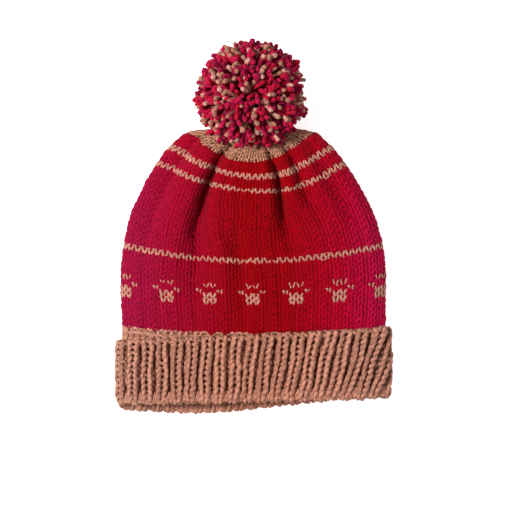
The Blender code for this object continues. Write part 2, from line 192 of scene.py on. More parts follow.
# The linings, shells in the middle of the fabric that show through the gaps between stitches, darker than
# the yarn as painted shade, by the depth of their outside
LINING_THICKNESS = 0.0008
LINING_LOWEST = 0.0003  # height above the ground
CROWN_LINING = -0.0008
TOP_LINING = -0.0024
CUFF_LINING = -0.0016
CUFF_SIDE_LINING = 0.0022  # at the hat's two sides
CUFF_FOLD_LINING = 0.0004
CUFF_INNER_LINING = 0.0012
SIDE_START = 0.985  # where the sides begin, as a share of the half width
SIDE_BLEND = 0.02
LINING_BEFORE_FOLD = 1.5  # rows before the fold at which the outer layer's lining ends
LINING_PAST_FOLD = 0.5  # rows past it at which the inner layer's begins

# The pompom's strands, with lengths as shares of its radius unless they are in metres
STRANDS = 1250
STRAND_POINTS = 10
STRAND_YARN = 0.00172  # radius in metres
STRAND_YARN_STRAY = 0.08  # how much it differs between strands, as a share
STRAND_YARN_LIMITS = (0.8, 1.25)
STRAND_ROOT = 0.36  # where strands start
STRAND_TILT = 0.76  # how far a strand's root lies aside of its tip
STRAND_STRAY = 0.07  # how unevenly the tips are spread
STRAND_BEND = 0.05
STRAND_REACH = (0.95, 1.055)
STRAND_INSET = 0.0006  # metres that keep the strands inside the pompom's outline
PARTING = (0.10, -0.06, 0.99)  # direction of a parting between the strands, seen from the middle
PARTING_WIDTH = 0.20
HANGING = 0.17  # how much longer the strands are that lie over the crown
HANGING_GROWTH = 2.2  # how fast that grows towards the crown
HANGING_FADE = 4  # how fast it fades below the pompom's middle
HANGING_LEAST = 0.3  # the part of it that the shortest of them have
CUT_END = (1.0, 1.0, 1.04, 1.0, 0.02)  # thickness of a strand's last five points, as shares
STRAND_START = 0.02  # the same of its first point
CUT_LENGTHS = (1.2, 0.25)  # of its last two steps, in radii of the yarn
GROUND_TOUCH = 0.9  # least height of a strand's middle, in radii of the yarn
TAN_SHARE = 0.27

SIDES = 6  # sides of a yarn tube

# Colours of the yarn, from the hat's left to its right, as shares of COLOUR_WIDTH. The red grows lighter and
# pinker towards the two sides: painted light, the sheen and bounce on the sides that turn away
COLOUR_WIDTH = 0.22
RED = (
    (0.08, (0.262, 0.0040, 0.034)),
    (0.24, (0.280, 0.0018, 0.018)),
    (0.45, (0.245, 0.0004, 0.0028)),
    (0.62, (0.250, 0.0004, 0.0030)),
    (0.80, (0.345, 0.0010, 0.0150)),
    (0.94, (0.40, 0.0035, 0.044)),
)
TAN = ((0.05, (0.46, 0.215, 0.160)), (0.5, (0.50, 0.200, 0.150)), (0.95, (0.48, 0.215, 0.160)))
TOP_TAN = ((0.0, (0.42, 0.205, 0.130)), (0.5, (0.44, 0.195, 0.125)), (1.0, (0.42, 0.200, 0.135)))
CUFF_TAN = ((0.0, (0.440, 0.206, 0.145)), (0.5, (0.475, 0.200, 0.130)), (1.0, (0.49, 0.222, 0.156)))
# Linings: a slightly darker red and a much darker tan than the yarn, as painted shade in the gaps between
# stitches and ribs
RED_LINING_PAINTED_SHADE = ((0.0, (0.26, 0.002, 0.020)), (0.5, (0.22, 0.0006, 0.004)), (1.0, (0.25, 0.002, 0.016)))
TAN_LINING_PAINTED_SHADE = ((0.0, (0.14, 0.053, 0.030)), (1.0, (0.14, 0.053, 0.030)))
STRAND_REDS = {
    "strand_crimson": (0.45, 0.008, 0.055),
    "strand_red": (0.42, 0.006, 0.030),
    "strand_wine": (0.28, 0.005, 0.038),
}
STRAND_TANS = {"strand_tan": (0.40, 0.17, 0.115), "strand_pale": (0.56, 0.27, 0.21)}
FRAYED = {"twist": 0.35, "depth": 0.3, "mottle": 0.3, "groove_shade": 0.5}
BLOTCHES = {"Scale": 260.0, "Detail": 3.0}
FIBRES = {"Scale": 1900.0, "Detail": 4.0, "Roughness": 0.7}
GROOVE_POWER = 0.6  # narrows the grooves between the plies
GROOVE_LIGHT = 1.04  # brightness beside the grooves
GROOVE_HEIGHT = 0.7  # share of the yarn's bumps
FIBRE_HEIGHT = 0.55  # the same of its loose fibres
FIBRE_SHADE = 0.5  # how much they change the brightness
YARN_BUMP = 0.0008  # height in metres
ROUGHNESS = 0.78
FIBRE_ROUGHNESS = 0.2  # what loose fibres add
SPECULAR = 0.03
SHEEN_ROUGHNESS = 0.45
SHEEN_TINT = (1.0, 0.8, 0.75, 1.0)

# The studio
FLOOR_SIZE = 6.0
FLOOR_GREYS = ((0.0, (0.93, 0.93, 0.93)), (1.0, (0.96, 0.96, 0.96)))
FLOOR_NOISE = 40.0
FLOOR_ROUGHNESS = 0.9
FLOOR_GLOW = 0.7
WHITE = (1.0, 1.0, 1.0, 1.0)
WORLD_STRENGTH = 0.25
LIGHTS = {
    "key": {"place": (-0.80, 0.12, 1.22), "size": 0.28, "power": 29.0, "colour": (1.0, 0.99, 0.98)},
    "fill": {"place": (0.9, -0.4, 1.0), "size": 0.9, "power": 4.4, "colour": (0.97, 0.98, 1.0)},
}
CAMERA_PLACE = (0.0011, -0.0215, 1.3)
CAMERA_LENS = 115.4  # in millimetres, as the sensor's width
SENSOR_WIDTH = 36.0
CLIP = (0.01, 20.0)


def table_column(table, columns, name):
    """One column of a table, as an array."""
    return np.array([line[columns.index(name)] for line in table], float)


def section_value(name, level):
    """The section table's value at any level, on a smooth curve through the table."""
    levels = table_column(SECTIONS, SECTION_COLUMNS, "level")
    values = table_column(SECTIONS, SECTION_COLUMNS, name)
    slopes = np.gradient(values, levels)
    i = int(np.clip(np.searchsorted(levels, level, "right") - 1, 0, len(levels) - 2))
    span = levels[i + 1] - levels[i]
    u = (level - levels[i]) / span
    a = (2 * u**3 - 3 * u**2 + 1) * values[i] + (u**3 - 2 * u**2 + u) * span * slopes[i]
    b = (3 * u**2 - 2 * u**3) * values[i + 1] + (u**3 - u**2) * span * slopes[i + 1]
    return float(a + b)


def hull(level, front):
    """Half of the outline at a level before it is folded: its points and outward normals, X and Z."""
    half_width = section_value("half_width", level) * CROWN_WIDTH / 2
    lift = max(0.0, section_value("lift", level)) * (RIB_WALL + LAYER_GAP)
    low = max(0.0, section_value("bottom", level)) * CROWN_HEIGHT + lift
    high = section_value("top", level) * CROWN_HEIGHT
    centre, half_height = (low + high) / 2, (high - low) / 2
    power = max(2.0, section_value("square", level))
    turn = np.linspace(math.pi, 0.0, HULL_STEPS) if front else np.linspace(0.0, -math.pi, HULL_STEPS)
    blunt = power if front else power + BACK_BLUNTER
    x = half_width * np.sign(np.cos(turn)) * np.abs(np.cos(turn)) ** (2 / blunt)
    z = centre + half_height * np.sin(turn)
    points = np.stack([x, z], 1)
    along = np.gradient(points, axis=0)
    along /= np.linalg.norm(along, axis=1)[:, None]
    return points, np.stack([-along[:, 1], along[:, 0]], 1), half_width


def fold_angles(places, level, steepness):
    """Slope of the fabric into and out of the folds, in radians, at places round the hat."""
    angle = np.zeros_like(places)
    for line in FOLDS:
        fold = dict(zip(FOLD_COLUMNS, line))
        share = np.clip((level - fold["from_level"]) / (fold["full_level"] - fold["from_level"]), 0, 1)
        share *= np.clip((fold["to_level"] - level) / FOLD_FADE + 1, 0, 1)
        place = (places - fold["place"]) / fold["reach"]
        bump = np.tanh(place / CREASE) * np.cos(np.clip(place, -1, 1) * math.pi / 2)
        angle -= share * fold["strength"] * steepness * bump
    return np.clip(angle, -STEEPEST_FOLD, STEEPEST_FOLD)


def folded_half(level, front):
    """Half of the outline after folding: its points, X and Z, and their X as shares of the half width."""
    points, normals, half_width = hull(level, front)
    steps = np.linalg.norm(np.diff(points, axis=0), axis=1)
    along_hull = np.concatenate([[0], np.cumsum(steps)])
    places = (0 if front else 0.5) + np.linspace(0, 0.5, STITCHES // 2 * FINE_STEPS + 1)
    middle = (places[1:] + places[:-1]) / 2
    fabric = STITCHES // 2 * STITCH_WIDTH
    low = math.radians(max(0.0, section_value("fold_least", level)))
    high = math.radians(max(0.0, section_value("fold_limit", level)))
    for _ in range(ANGLE_SEARCH_STEPS):
        steepness = (low + high) / 2
        across = np.cos(fold_angles(middle, level, steepness)).mean() * fabric
        if across > along_hull[-1]:
            low = steepness
        else:
            high = steepness
    angle = fold_angles(middle, level, steepness)
    across = np.concatenate([[0], np.cumsum(np.cos(angle))])
    squeeze = along_hull[-1] / across[-1]
    depth = np.concatenate([[0], np.cumsum(np.sin(angle))]) * squeeze
    depth -= np.linspace(0, depth[-1], len(depth))
    place = across * squeeze
    flat = [np.interp(place, along_hull, points[:, k]) for k in (0, 1)]
    out = [np.interp(place, along_hull, normals[:, k]) for k in (0, 1)]
    return np.stack([flat[0] - out[0] * depth, flat[1] - out[1] * depth], 1), flat[0] / half_width


def gather_point():
    """Middle of the gathered hole in the crown."""
    middle = (section_value("top", 1) + section_value("bottom", 1)) / 2 * CROWN_HEIGHT
    middle_x = MIDDLE_X + section_value("aside", 1) * CROWN_WIDTH / 2
    return Vector((middle_x, OPENING_Y + CROWN_START + section_value("rise", 1) * CROWN_RISE, middle))


def pompom_distance():
    return POMPOM_RADIUS * POMPOM_SQUASH + CLEARANCE


def pompom_axis():
    """Direction from the gathered hole to the pompom's middle."""
    climb = POMPOM_RADIUS - POMPOM_FLATTEN - gather_point().z
    ahead = math.sqrt(max(0.0, pompom_distance() ** 2 - climb**2 - POMPOM_LEAN**2))
    return Vector((POMPOM_LEAN, ahead, climb)).normalized()


POMPOM_AXIS = np.array(pompom_axis())
POMPOM_CENTRE = np.array(gather_point()) + POMPOM_AXIS * pompom_distance()


def squashed(away):
    """Lengths of vectors from the pompom's middle, as shares of the pompom's radius that way."""
    along = away @ POMPOM_AXIS
    side = away - along[:, None] * POMPOM_AXIS
    return np.sqrt((side**2).sum(1) + (along / POMPOM_SQUASH) ** 2) / POMPOM_RADIUS


def crown_ring(level, columns):
    """The crown's outer surface at one level, as points at even widths of fabric, from the left side."""
    middle_x = MIDDLE_X + section_value("aside", level) * CROWN_WIDTH / 2
    rise = section_value("rise", level) * CROWN_RISE
    skew = section_value("skew", level)
    lines = []
    for front, sag_name, way in ((True, "front_sag", -1), (False, "back_sag", 1)):
        flat, across = folded_half(level, front)
        lowest = skew if front else 0.0
        from_lowest = (across - lowest) / (1 - lowest * np.sign(across - lowest))
        sag = way * section_value(sag_name, level) * ROW_SAG * (1 - np.clip(from_lowest, -1, 1) ** 2)
        y = OPENING_Y + CROWN_START + rise + sag
        line = np.stack([flat[:, 0] + middle_x, y, flat[:, 1]], 1)
        lines.append(line if front else line[1:])
    whole = np.concatenate(lines)
    places = np.linspace(0, len(whole) - 1, columns, endpoint=False)
    points = np.stack([np.interp(places, np.arange(len(whole)), whole[:, k]) for k in range(3)], 1)
    points[:, 2] = np.maximum(points[:, 2] - PRESSED_FLAT, 0.0)
    away = points - POMPOM_CENTRE
    share = squashed(away)
    points = POMPOM_CENTRE + away * (np.maximum(share, 1 + BOWL_SPARE / POMPOM_RADIUS) / share)[:, None]
    points[:, 2] = np.maximum(points[:, 2], 0.0)
    return points


def unit(vectors):
    return vectors / np.maximum(np.linalg.norm(vectors, axis=-1, keepdims=True), SHORTEST)


def grid_normals(grid):
    """Outward normals of a grid of points, rows by columns, closed round its columns."""
    along = np.roll(grid, -1, 1) - np.roll(grid, 1, 1)
    up = np.gradient(grid, axis=0)
    return unit(np.cross(along, up))


def read_grid(grid, place, row):
    """Values between a grid's points: place in grid columns round the hat, row in grid rows."""
    rows, columns = grid.shape[:2]
    row = np.clip(row, 0, rows - 1.001)  # just below the last row, which is then the upper one
    low, left = np.floor(row).astype(int), np.floor(place).astype(int)
    up, across = (row - low)[..., None], (place - left)[..., None]
    left, right = left % columns, (left + 1) % columns
    lower = grid[low, left] * (1 - across) + grid[low, right] * across
    upper = grid[low + 1, left] * (1 - across) + grid[low + 1, right] * across
    return lower * (1 - up) + upper * up


def crown_grid():
    """The crown's surface and its normals. One more row is added beyond each end."""
    levels = np.linspace(0, 1, CROWN_ROWS * CROWN_GRID_STEP + 1)
    grid = np.stack([crown_ring(level, GRID_COLUMNS) for level in levels])
    below = [grid[0] + (grid[0] - grid[1]) * k for k in range(CROWN_GRID_STEP, 0, -1)]
    above = [grid[-1] + (grid[-1] - grid[-2]) * k for k in range(1, CROWN_GRID_STEP + 1)]
    grid = np.concatenate([below, grid, above])
    grid[..., 2] = np.maximum(grid[..., 2], 0.0)
    return grid, grid_normals(grid)


def cuff_grid():
    """The ribbing's middle surface and normals, from the loose edge down round the fold and up inside."""
    columns = GRID_COLUMNS
    ring = crown_ring(0, columns)
    along = np.roll(ring, -1, 0) - np.roll(ring, 1, 0)
    out = unit(np.stack([-along[:, 2], np.zeros(columns), along[:, 0]], 1))
    across = ring[:, 0] / (CROWN_WIDTH / 2)
    behind = np.clip(0.5 - out[:, 2], 0, 1)
    drop = BACK_DROP * behind * np.exp(-(((across - BACK_DROP_PLACE) / BACK_DROP_REACH) ** 2))
    fold_y = OPENING_Y + ring[:, 0] * FOLD_TILT - drop
    edge_y = OPENING_Y + CUFF_HEIGHT + ring[:, 0] * EDGE_TILT
    slide = RIB_LEAN * np.clip(1 + across, 0, 2) ** RIB_LEAN_GROWTH / (STITCH_WIDTH * STITCHES) * columns
    inner = -RIB_WALL / 2
    bend = (CUFF_MIDDLE - inner) / 2
    turn_y = fold_y + FOLD_SPARE + bend
    points, normals = [], []
    for step in range(CUFF_ROWS * CUFF_GRID_STEP + 1):
        row = step / CUFF_GRID_STEP
        if row < CUFF_FOLD_ROW:
            share = row / CUFF_FOLD_ROW
            offset, y, facing = CUFF_MIDDLE, edge_y + (turn_y - edge_y) * share, 0.0
            lean = 1 - share
        elif row < CUFF_FOLD_END:
            facing = (row - CUFF_FOLD_ROW) / (CUFF_FOLD_END - CUFF_FOLD_ROW) * math.pi
            offset = inner + bend + bend * math.cos(facing)
            y, lean = turn_y - bend * math.sin(facing), 0.0
        else:
            share = (row - CUFF_FOLD_END) / (CUFF_ROWS - CUFF_FOLD_END)
            offset, y, facing = inner, turn_y + (ring[:, 1] - turn_y) * share, math.pi
            lean = 0.0
        places = np.arange(columns) + slide * lean
        point = read_grid(ring[None].repeat(2, 0), places, np.zeros(columns))
        normal = unit(read_grid(out[None].repeat(2, 0), places, np.zeros(columns)))
        point = point + normal * offset
        point[:, 1] = y
        normals.append(normal * math.cos(facing) + np.array([0, -math.sin(facing), 0]))
        points.append(point)
    return np.stack(points), np.stack(normals)


def wander(rows, per_round, size, samples):
    """A smooth random value along each row of yarn, which changes from stitch to stitch."""
    knots = rng.normal(0, size, (rows, per_round))
    at = np.arange(per_round * samples) / samples
    low = np.floor(at).astype(int)
    ease = at - low
    ease = ease * ease * (3 - 2 * ease)
    return knots[:, low] * (1 - ease) + knots[:, (low + 1) % per_round] * ease


def add_mesh(name, vertices, faces, face_materials, uv, materials):
    """A mesh from arrays: vertices, four-cornered faces, each face's material and each corner's UVs."""
    mesh = bpy.data.meshes.new(name)
    mesh.vertices.add(len(vertices))
    mesh.vertices.foreach_set("co", np.ascontiguousarray(vertices, np.float32).ravel())
    mesh.loops.add(faces.size)
    mesh.loops.foreach_set("vertex_index", faces.astype(np.int32).ravel())
    mesh.polygons.add(len(faces))
    mesh.polygons.foreach_set("loop_start", np.arange(0, faces.size, 4, dtype=np.int32))
    for material in materials:
        mesh.materials.append(material)
    mesh.polygons.foreach_set("material_index", face_materials.astype(np.int32).ravel())
    layer = mesh.uv_layers.new(name="yarn")
    layer.data.foreach_set("uv", np.ascontiguousarray(uv, np.float32).ravel())
    mesh.update(calc_edges=True)
    mesh.validate()
    mesh.shade_smooth()
    made = bpy.data.objects.new(name, mesh)
    bpy.context.scene.collection.objects.link(made)
    return made


def finish_piece(piece, node):
    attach(piece, "root")
    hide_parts(node)
    return piece


def face_arrays(corners, u, v, v_step):
    """Four-cornered faces from the numbers of their corners, and their UVs."""
    faces = np.stack(corners, -1).reshape(-1, 4)
    uv = np.stack([u, v, u, v + v_step, u + 1, v + v_step, u + 1, v], -1).reshape(-1, 4, 2)
    return faces, uv


def tube_arrays(paths, ups, radii, closed):
    """Vertices, faces and UVs of yarn along paths of equally many points. Open ends have no caps."""
    count, length = paths.shape[:2]
    if closed:
        along = np.roll(paths, -1, 1) - np.roll(paths, 1, 1)
    else:
        along = np.gradient(paths, axis=1)
    along = unit(along)
    side = unit(np.cross(along, ups))
    over = np.cross(side, along)
    turn = np.arange(SIDES) / SIDES * 2 * math.pi
    circle = np.cos(turn)[:, None] * side[:, :, None, :] + np.sin(turn)[:, None] * over[:, :, None, :]
    vertices = (paths[:, :, None, :] + radii[:, :, None, None] * circle).reshape(-1, 3)
    steps = length if closed else length - 1
    strand, step, corner = np.meshgrid(np.arange(count), np.arange(steps), np.arange(SIDES), indexing="ij")
    here = (strand * length + step) * SIDES
    ahead = (strand * length + (step + 1) % length) * SIDES
    beside = (corner + 1) % SIDES
    corners = [here + corner, here + beside, ahead + beside, ahead + corner]
    return vertices, *face_arrays(corners, step, corner / SIDES, 1 / SIDES)


def is_tan(row, stitch, part):
    """Whether the crown's yarn is tan in a row, counted from 1, at a part of a stitch from 0 to 1."""
    if row in TAN_ROWS:
        return True
    place = stitch % MOTIF_STITCHES
    if row in MOTIF_ROWS:
        return place in MOTIF_ROWS[row]
    if row == MOTIF_DOT_ROW and place in MOTIF_DOTS:
        return DOT_PARTS[0] <= min(part, 1 - part) < DOT_PARTS[1]
    return False


def crown_rows(grid, normals, first, last, stitches):
    """Tube arrays and face colours of the crown's rows after first, up to last, with so many stitches."""
    samples, shape = CROWN_SAMPLES, (last - first, stitches)
    stitch = np.arange(stitches * samples) / samples
    part = stitch % 1
    numbers = np.arange(first, last) + 1
    in_top = (numbers >= TAN_TOP)[:, None]
    middles = stitch + 0.5 / samples
    chart = np.array([[is_tan(row, int(s), s % 1) for s in middles] for row in numbers])
    shift = MOTIF_SHIFT if stitches == STITCHES else 0.0
    pinch = LOOP_PINCH if stitches == STITCHES else TOP_PINCH
    place = stitch + pinch * np.sin(4 * math.pi * part) + shift + wander(*shape, CROWN_STRAY, samples)
    rows = numbers[:, None] - 0.5 - LOOP_REACH * np.cos(2 * math.pi * part)
    rows = rows + wander(*shape, CROWN_ROW_STRAY, samples)
    depth = CROWN_YARN_DEPTH - LOOP_DEPTH * np.cos(4 * math.pi * part)
    depth = depth + wander(*shape, CROWN_DEPTH_STRAY, samples) + TAN_RISE * (chart & ~in_top)
    at = (place * GRID_COLUMNS / stitches, (rows + 1) * CROWN_GRID_STEP)
    ups = unit(read_grid(normals, *at))
    paths = read_grid(grid, *at) + ups * depth[..., None]
    thin_of_row = [MOTIF_THIN.get(row, TOP_THIN if row >= TAN_TOP else STRIPE_THIN) for row in numbers]
    thin = np.where(chart, np.array(thin_of_row)[:, None], 1.0)
    radii = CROWN_YARN * thin * (1 + wander(*shape, CROWN_YARN_STRAY, samples))
    paths[..., 2] = np.maximum(paths[..., 2], radii)
    colours = chart * np.where(in_top, 2, 1)
    return *tube_arrays(paths, ups, radii, True), np.repeat(colours.ravel(), SIDES)


def knit_crown(materials):
    """The crown's rows, each one yarn looped through the row below, with fewer stitches towards the top."""
    grid, normals = crown_grid()
    pieces = (
        ("crown_knit_low", DECREASES[:1]),
        ("crown_knit_middle", DECREASES[1:2]),
        ("crown_knit_top", DECREASES[2:]),
    )
    for name, groups in pieces:
        made = [crown_rows(grid, normals, *group) for group in groups]
        vertices, faces, uv, colours = zip(*made)
        starts = np.cumsum([0] + [len(points) for points in vertices])
        faces = [part + start for part, start in zip(faces, starts)]
        arrays = [np.concatenate(parts) for parts in (vertices, faces, colours, uv)]
        finish_piece(add_mesh(name, *arrays, materials), "crown")
    return grid, normals


def cuff_yarn(grid, normals, place, rows, depth, radii):
    """Tube arrays of the cuff's rows, from places in stitches, rows, depths and radii."""
    at = (place * grid.shape[1] / STITCHES, rows * CUFF_GRID_STEP)
    ups = unit(read_grid(normals, *at))
    paths = read_grid(grid, *at) + ups * depth[..., None]
    paths[..., 2] = np.maximum(paths[..., 2], radii)
    return tube_arrays(paths, ups, radii, True)


def add_cuff_piece(name, arrays, material):
    vertices, faces, uv = arrays
    piece = add_mesh(name, vertices, faces, np.zeros(len(faces), int), uv, [material])
    return finish_piece(piece, "folded_cuff")


def knit_cuff(grid, normals, material):
    """The ribbing: knit stitches that stand out and purl stitches that lie behind, all of one thick yarn."""
    samples = CUFF_SAMPLES
    stitch = np.arange(STITCHES * samples) / samples
    part = stitch % 1
    knit = (np.floor(stitch).astype(int) % 2) == 0
    shape = (CUFF_ROWS, STITCHES)
    numbers = np.arange(CUFF_ROWS)[:, None]
    rows = numbers + 0.5 - CUFF_LOOP_REACH * np.cos(2 * math.pi * part)
    rows = rows + wander(*shape, CUFF_ROW_STRAY, samples)
    fold = (CUFF_FOLD_ROW + CUFF_FOLD_END) / 2
    by_fold = np.clip(np.abs(rows - fold) / FLAT_ROWS, FLAT_SHARE, 1)
    by_edge = np.clip((rows + 1) / RELIEF_ROWS, EDGE_RELIEF, 1)
    by_join = np.clip((CUFF_ROWS - 0.5 - rows) / RELIEF_ROWS, JOIN_RELIEF, 1)
    spread = by_fold * RIB_SPREAD * np.sin(2 * math.pi * part)
    legs = part - spread + RIB_UPRIGHT * np.sin(4 * math.pi * part)
    phases = rng.uniform(0, 2 * math.pi, STITCHES)[np.floor(stitch).astype(int)]
    place = np.floor(stitch) + legs + wander(*shape, CUFF_STRAY, samples)
    place = place + RIB_SWAY * np.sin(rows * RIB_SWAY_TURN + phases)
    front = RIB_RISE - RIB_DIP * np.cos(2 * math.pi * part) ** LOOP_ENDS
    sunk = -PURL_DEPTH * (1 - np.cos(math.pi * part) ** LOOP_ENDS)
    folded_in = numbers > CUFF_FOLD_END
    depth = by_fold * by_edge * by_join * np.where(knit, front, np.where(folded_in, -front, sunk))
    depth = depth + wander(*shape, CUFF_DEPTH_STRAY, samples)
    bulk = 1 + RIB_BULK * np.where(knit & (part > 0.5), np.sin(2 * math.pi * part) ** 2, 0.0)
    radii = CUFF_YARN * bulk * (1 + wander(*shape, CUFF_YARN_STRAY, samples))
    half = CUFF_ROWS // 2
    for name, chosen in (("cuff_ribs_outer", slice(0, half)), ("cuff_ribs_inner", slice(half, CUFF_ROWS))):
        made = cuff_yarn(grid, normals, place[chosen], rows[chosen], depth[chosen], radii[chosen])
        add_cuff_piece(name, made, material)


def cast_on_edge(grid, normals, material):
    """The cuff's loose edge: one yarn that arches over each stitch, and higher over each rib."""
    samples, shape = CUFF_SAMPLES, (1, STITCHES)
    stitch = np.arange(STITCHES * samples) / samples
    over_ribs, over_stitches = np.cos(math.pi * (stitch - 0.5)), np.cos(2 * math.pi * (stitch - 0.25))
    arch = (over_ribs + over_stitches)[None] / 2
    place = stitch + wander(*shape, EDGE_STRAY, samples)
    rows = EDGE_ROW - EDGE_ARCH * arch + wander(*shape, EDGE_STRAY, samples)
    depth = EDGE_DEPTH + EDGE_ARCH_DEPTH * arch + wander(*shape, EDGE_DEPTH_STRAY, samples)
    radii = EDGE_YARN * (1 + wander(*shape, EDGE_YARN_STRAY, samples))
    add_cuff_piece("cuff_edge", cuff_yarn(grid, normals, place, rows, depth, radii), material)


def add_lining(name, grid, normals, depth, colours, materials, node, slot):
    """A thin closed shell inside the knitting that shows through its gaps, with a colour for each row,
    darker than the yarn as painted shade.
    """
    outer = grid + normals * depth
    inner = grid + normals * (depth - LINING_THICKNESS)
    both = np.concatenate([outer, inner[::-1]])
    both[..., 2] = np.maximum(both[..., 2], LINING_LOWEST)
    rows, columns = both.shape[:2]
    row, column = np.meshgrid(np.arange(rows), np.arange(columns), indexing="ij")
    here, ahead = row * columns, (row + 1) % rows * columns
    beside = (column + 1) % columns
    corners = [here + column, here + beside, ahead + beside, ahead + column]
    faces, uv = face_arrays(corners, row, column, 1)
    face_colours = np.repeat(np.concatenate([colours, colours[::-1]]), columns)
    made = add_mesh(name, both.reshape(-1, 3), faces, face_colours, uv, materials)
    return finish_piece(made, node)


def line_crown(grid, normals, materials):
    """The crown's lining, red with a tan top, both darker than their yarn as painted shade in the gaps."""
    first, last = CROWN_GRID_STEP, (CROWN_ROWS + 1) * CROWN_GRID_STEP + 1
    used = (slice(first, last, CROWN_GRID_STEP), slice(None, None, 2))
    in_top = np.arange(CROWN_ROWS + 1) + 1 >= TAN_TOP
    depth = np.where(in_top, TOP_LINING, CROWN_LINING)[:, None, None]
    colours = in_top.astype(int)
    add_lining("crown_lining_painted_shade", grid[used], normals[used], depth, colours, materials, "crown", "crown_yarn")


def line_cuff(grid, normals, materials):
    """The cuff's lining, dark in the outer layer as painted shade between the ribs, and of the cuff's own
    colour round the fold and inside.
    """
    row = np.arange(len(grid))[:, None, None] / CUFF_GRID_STEP
    across = np.abs(grid[..., :1] - MIDDLE_X) / (CROWN_WIDTH / 2)
    at_side = np.clip((across - SIDE_START) / SIDE_BLEND, 0, 1)
    outer_depth = CUFF_LINING + (CUFF_SIDE_LINING - CUFF_LINING) * at_side
    by_fold = row < CUFF_FOLD_END + LINING_PAST_FOLD
    in_outer = row < CUFF_FOLD_ROW - LINING_BEFORE_FOLD
    depth = np.where(in_outer, outer_depth, np.where(by_fold, CUFF_FOLD_LINING, CUFF_INNER_LINING))
    used = (slice(None, None, 2), slice(None, None, 2))
    colours = (~in_outer[::2]).astype(int).ravel()
    shell = (grid[used], normals[used], depth[used])
    add_lining("cuff_lining_painted_shade", *shell, colours, materials, "folded_cuff", "cuff_yarn")


def ball_directions(count):
    """Evenly spread directions over a ball."""
    number = np.arange(count) + 0.5
    height = 1 - 2 * number / count
    turn = number * math.pi * (1 + math.sqrt(5))
    across = np.sqrt(1 - height**2)
    return np.stack([across * np.cos(turn), across * np.sin(turn), height], 1)


def strand_paths():
    """Directions of the strands' tips, and each strand's path from near the tie to its tip."""
    tips = ball_directions(STRANDS)
    tips = unit(tips + rng.normal(0, STRAND_STRAY, tips.shape))
    roots = unit(tips + rng.normal(0, STRAND_TILT / 2, tips.shape))
    from_parting = tips - np.array(PARTING)
    apart = np.exp(-((np.linalg.norm(from_parting, axis=1) / PARTING_WIDTH) ** 2))
    tips = unit(tips + unit(from_parting) * apart[:, None] * PARTING_WIDTH)
    reach = rng.uniform(*STRAND_REACH, STRANDS)
    to_crown = np.clip(-tips @ POMPOM_AXIS, 0, 1) * np.clip(tips[:, 2] * HANGING_FADE + 1, 0, 1)
    longer = HANGING * np.clip(to_crown * HANGING_GROWTH, 0, 1)
    reach = reach + longer * rng.uniform(HANGING_LEAST, 1, STRANDS)
    start, end = roots * STRAND_ROOT, tips * reach[:, None]
    straight = (start + end) / 2
    bend = straight + 2 * rng.normal(0, STRAND_BEND, tips.shape)
    t = np.linspace(0, 1, STRAND_POINTS)[None, :, None]
    paths = (1 - t) ** 2 * start[:, None] + 2 * t * (1 - t) * bend[:, None] + t**2 * end[:, None]
    squash = np.eye(3) + (POMPOM_SQUASH - 1) * np.outer(POMPOM_AXIS, POMPOM_AXIS)
    return tips, paths @ squash * (POMPOM_RADIUS - STRAND_INSET) + POMPOM_CENTRE


def make_pompom(materials_red, materials_tan):
    """Cut strands of yarn that burst from the tie, each with a blunt end."""
    tips, paths = strand_paths()
    thickness = rng.normal(1, STRAND_YARN_STRAY, (STRANDS, 1)).clip(*STRAND_YARN_LIMITS)
    profile = np.ones(STRAND_POINTS)
    profile[0] = STRAND_START
    profile[-len(CUT_END):] = CUT_END
    radii = STRAND_YARN * thickness * profile
    pull = unit(paths[:, -1] - paths[:, -2])
    paths[:, -2] = paths[:, -3] + pull * STRAND_YARN * CUT_LENGTHS[0]
    paths[:, -1] = paths[:, -2] + pull * STRAND_YARN * CUT_LENGTHS[1]
    paths[..., 2] = np.maximum(paths[..., 2], radii * GROUND_TOUCH)
    ups = np.broadcast_to(np.cross(tips, rng.normal(0, 1, tips.shape))[:, None], paths.shape)
    is_tan_strand = rng.random(STRANDS) < TAN_SHARE
    shades = rng.integers(0, len(STRAND_REDS), STRANDS)
    for name, chosen, materials in (
        ("pompom_strands_red", ~is_tan_strand, materials_red),
        ("pompom_strands_tan", is_tan_strand, materials_tan),
    ):
        vertices, faces, uv = tube_arrays(paths[chosen], ups[chosen], radii[chosen], False)
        shade = np.repeat(shades[chosen] % len(materials), (STRAND_POINTS - 1) * SIDES)
        finish_piece(add_mesh(name, vertices, faces, shade, uv, materials), "pompom")


class Nodes:
    """Adds and links the nodes of one material."""

    def __init__(self, name):
        self.material = bpy.data.materials.new(name)
        self.material.use_nodes = True
        self.tree = self.material.node_tree
        self.shader = self.tree.nodes["Principled BSDF"]

    def add(self, kind, inputs=None, **settings):
        node = self.tree.nodes.new(kind)
        for key, value in settings.items():
            setattr(node, key, value)
        self.set_inputs(node, inputs or {})
        return node

    def set_inputs(self, node, inputs):
        """Gives inputs a value, or links them where the value is another node's output."""
        for key, value in inputs.items():
            if isinstance(value, bpy.types.NodeSocket):
                self.tree.links.new(value, node.inputs[key])
            else:
                node.inputs[key].default_value = value

    def math(self, operation, *values):
        return self.add("ShaderNodeMath", dict(enumerate(values)), operation=operation).outputs[0]

    def multiply_colours(self, first, second):
        inputs = {0: 1.0, 6: first, 7: second}
        return self.add("ShaderNodeMix", inputs, data_type="RGBA", blend_type="MULTIPLY").outputs[2]

    def ramp(self, value, stops):
        node = self.add("ShaderNodeValToRGB", {0: value})
        elements = node.color_ramp.elements
        while len(elements) < len(stops):
            elements.new(0.5)
        for element, (place, colour) in zip(elements, stops):
            element.position = place
            element.color = (*colour, 1.0)
        return node.outputs[0]


